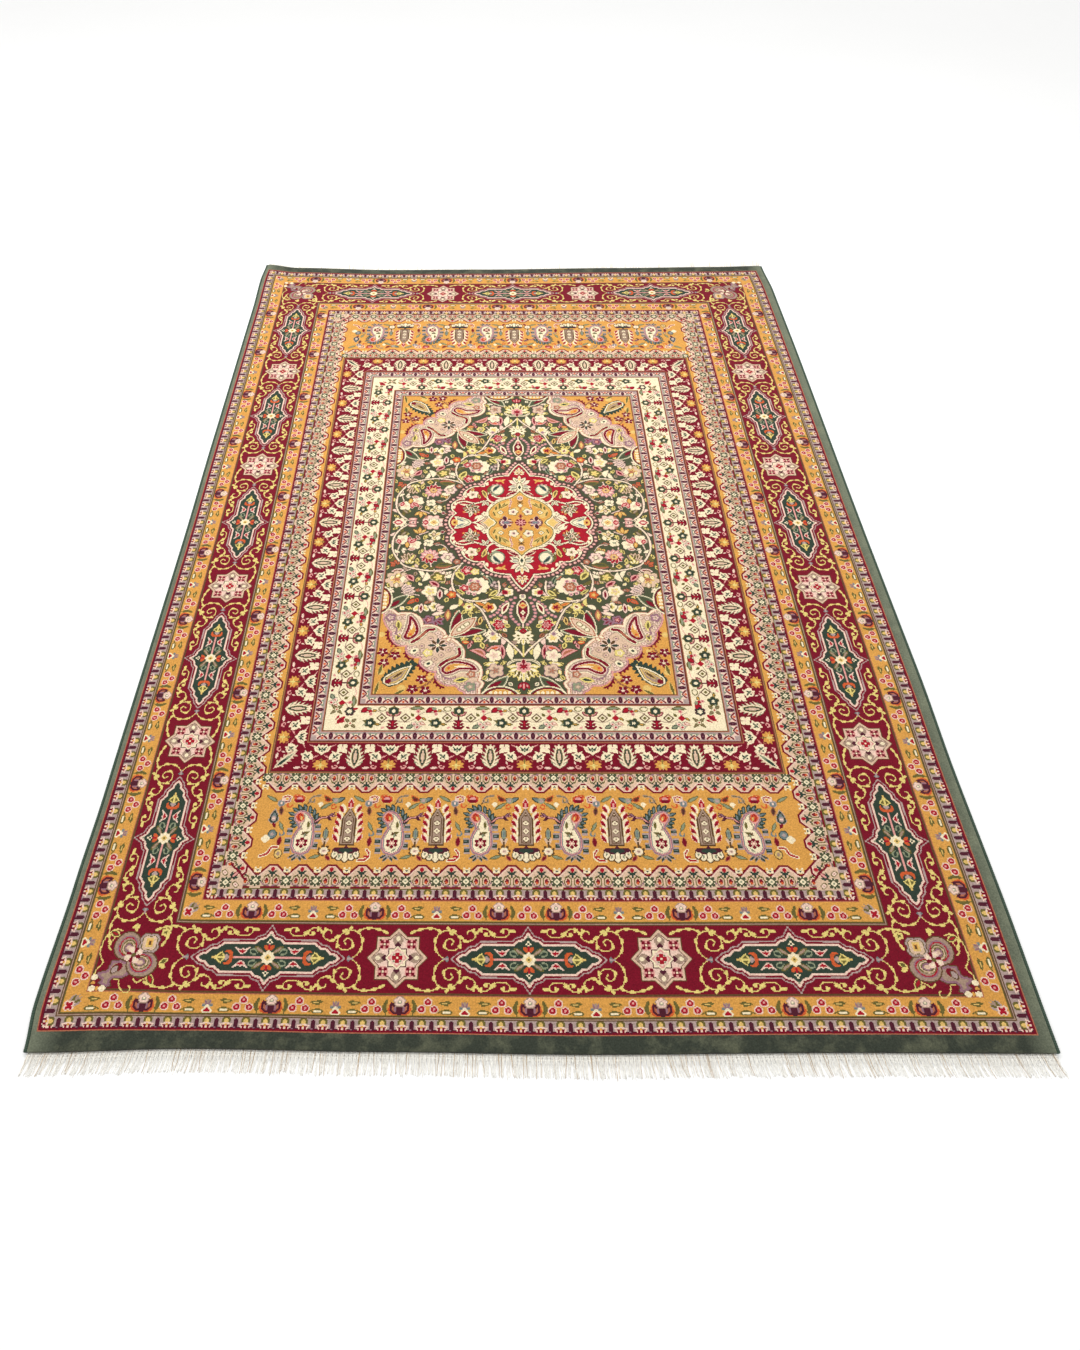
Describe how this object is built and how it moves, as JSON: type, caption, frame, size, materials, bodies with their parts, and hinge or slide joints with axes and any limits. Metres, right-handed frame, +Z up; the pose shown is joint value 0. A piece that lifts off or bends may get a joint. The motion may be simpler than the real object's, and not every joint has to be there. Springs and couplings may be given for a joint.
{
  "type": "pakistani tabriz rug",
  "caption": "Hand-knotted wool medallion rug with a red cartouche border, plain green outer band, bound sides and an ivory fringe at both ends, lying flat.",
  "frame": {"origin": "on the floor, under the middle of the rug with its fringes", "axes": "+Y along the rug towards the far end, +X across it to the right, +Z up out of the pile"},
  "size_m": [1.8508, 2.864, 0.01],
  "materials": {
    "wool_pile": "knotted wool pile, soft sheen",
    "side_binding": "overcast green wool",
    "ivory_cotton": "matt cotton strands"
  },
  "bodies": {
    "root": {"rug_body": "wool_pile", "selvedge_left": "side_binding", "selvedge_right": "side_binding", "end_weave_near": "ivory_cotton", "end_weave_far": "ivory_cotton", "fringe_near": "ivory_cotton", "fringe_far": "ivory_cotton"}
  },
  "joints": []
}
